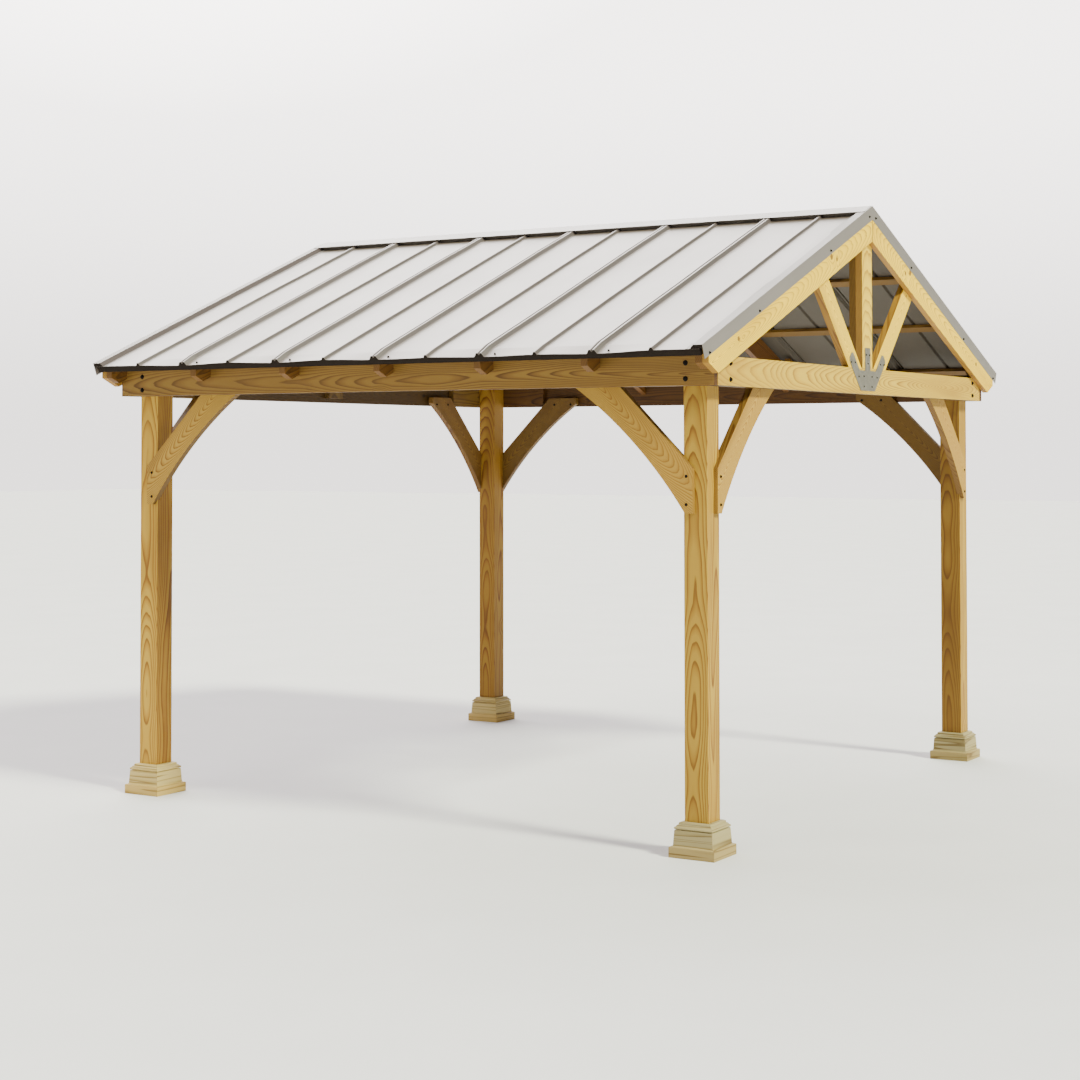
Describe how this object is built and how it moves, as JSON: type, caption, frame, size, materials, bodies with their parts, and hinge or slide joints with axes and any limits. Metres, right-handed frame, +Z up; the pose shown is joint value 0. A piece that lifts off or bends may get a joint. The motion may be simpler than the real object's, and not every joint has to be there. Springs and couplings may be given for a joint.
{
  "type": "garden pavilion",
  "caption": "Open timber garden pavilion with square posts on moulded skirts, curved knee braces, king post gables and a pitched ribbed metal roof.",
  "frame": {"origin": "middle of the footprint, at ground level", "axes": "+X along the ridge towards the gable seen in the picture, -Y towards the long eave seen in it, +Z up"},
  "size_m": [3.6204, 3.9842, 3.1211],
  "materials": {
    "post_timber": "planed, oiled softwood",
    "skirt_timber": "planed, weathered softwood",
    "beam_timber": "planed, oiled softwood",
    "brace_timber": "planed, oiled softwood",
    "rafter_timber": "planed, oiled softwood",
    "gable_timber": "planed, oiled softwood",
    "batten_timber": "sawn softwood",
    "galvanised_steel": "satin grey coating on plate",
    "roof_sheet": "baked satin paint on folded sheet",
    "roof_flashing": "baked satin paint on folded sheet",
    "closer_foam": "closed cell foam"
  },
  "bodies": {
    "root": {"post_front_right": "post_timber", "post_front_left": "post_timber", "post_back_right": "post_timber", "post_back_left": "post_timber", "skirt_front_right": "skirt_timber", "skirt_front_left": "skirt_timber", "skirt_back_right": "skirt_timber", "skirt_back_left": "skirt_timber", "side_beam_front": "beam_timber", "side_beam_back": "beam_timber", "tie_beam_right": "beam_timber", "tie_beam_left": "beam_timber", "packers_eave": "beam_timber", "packers_gable": "beam_timber", "braces_front": "brace_timber", "braces_back": "brace_timber", "braces_right": "brace_timber", "braces_left": "brace_timber", "gable_rafter_right_front": "rafter_timber", "gable_rafter_right_back": "rafter_timber", "gable_rafter_left_front": "rafter_timber", "gable_rafter_left_back": "rafter_timber", "mid_rafters_front": "rafter_timber", "mid_rafters_back": "rafter_timber", "rafter_tails_front": "rafter_timber", "rafter_tails_back": "rafter_timber", "ridge_board": "rafter_timber", "king_post_right": "gable_timber", "king_post_left": "gable_timber", "king_backers": "gable_timber", "struts_right": "gable_timber", "struts_left": "gable_timber", "battens_front": "batten_timber", "battens_back": "batten_timber", "gusset_plates": "galvanised_steel", "roof_sheet_front": "roof_sheet", "roof_sheet_back": "roof_sheet", "ridge_cap": "roof_flashing", "gable_flashing_right_front": "roof_flashing", "gable_flashing_right_back": "roof_flashing", "gable_flashing_left_front": "roof_flashing", "gable_flashing_left_back": "roof_flashing", "eave_closer_front": "closer_foam", "eave_closer_back": "closer_foam"}
  },
  "joints": []
}
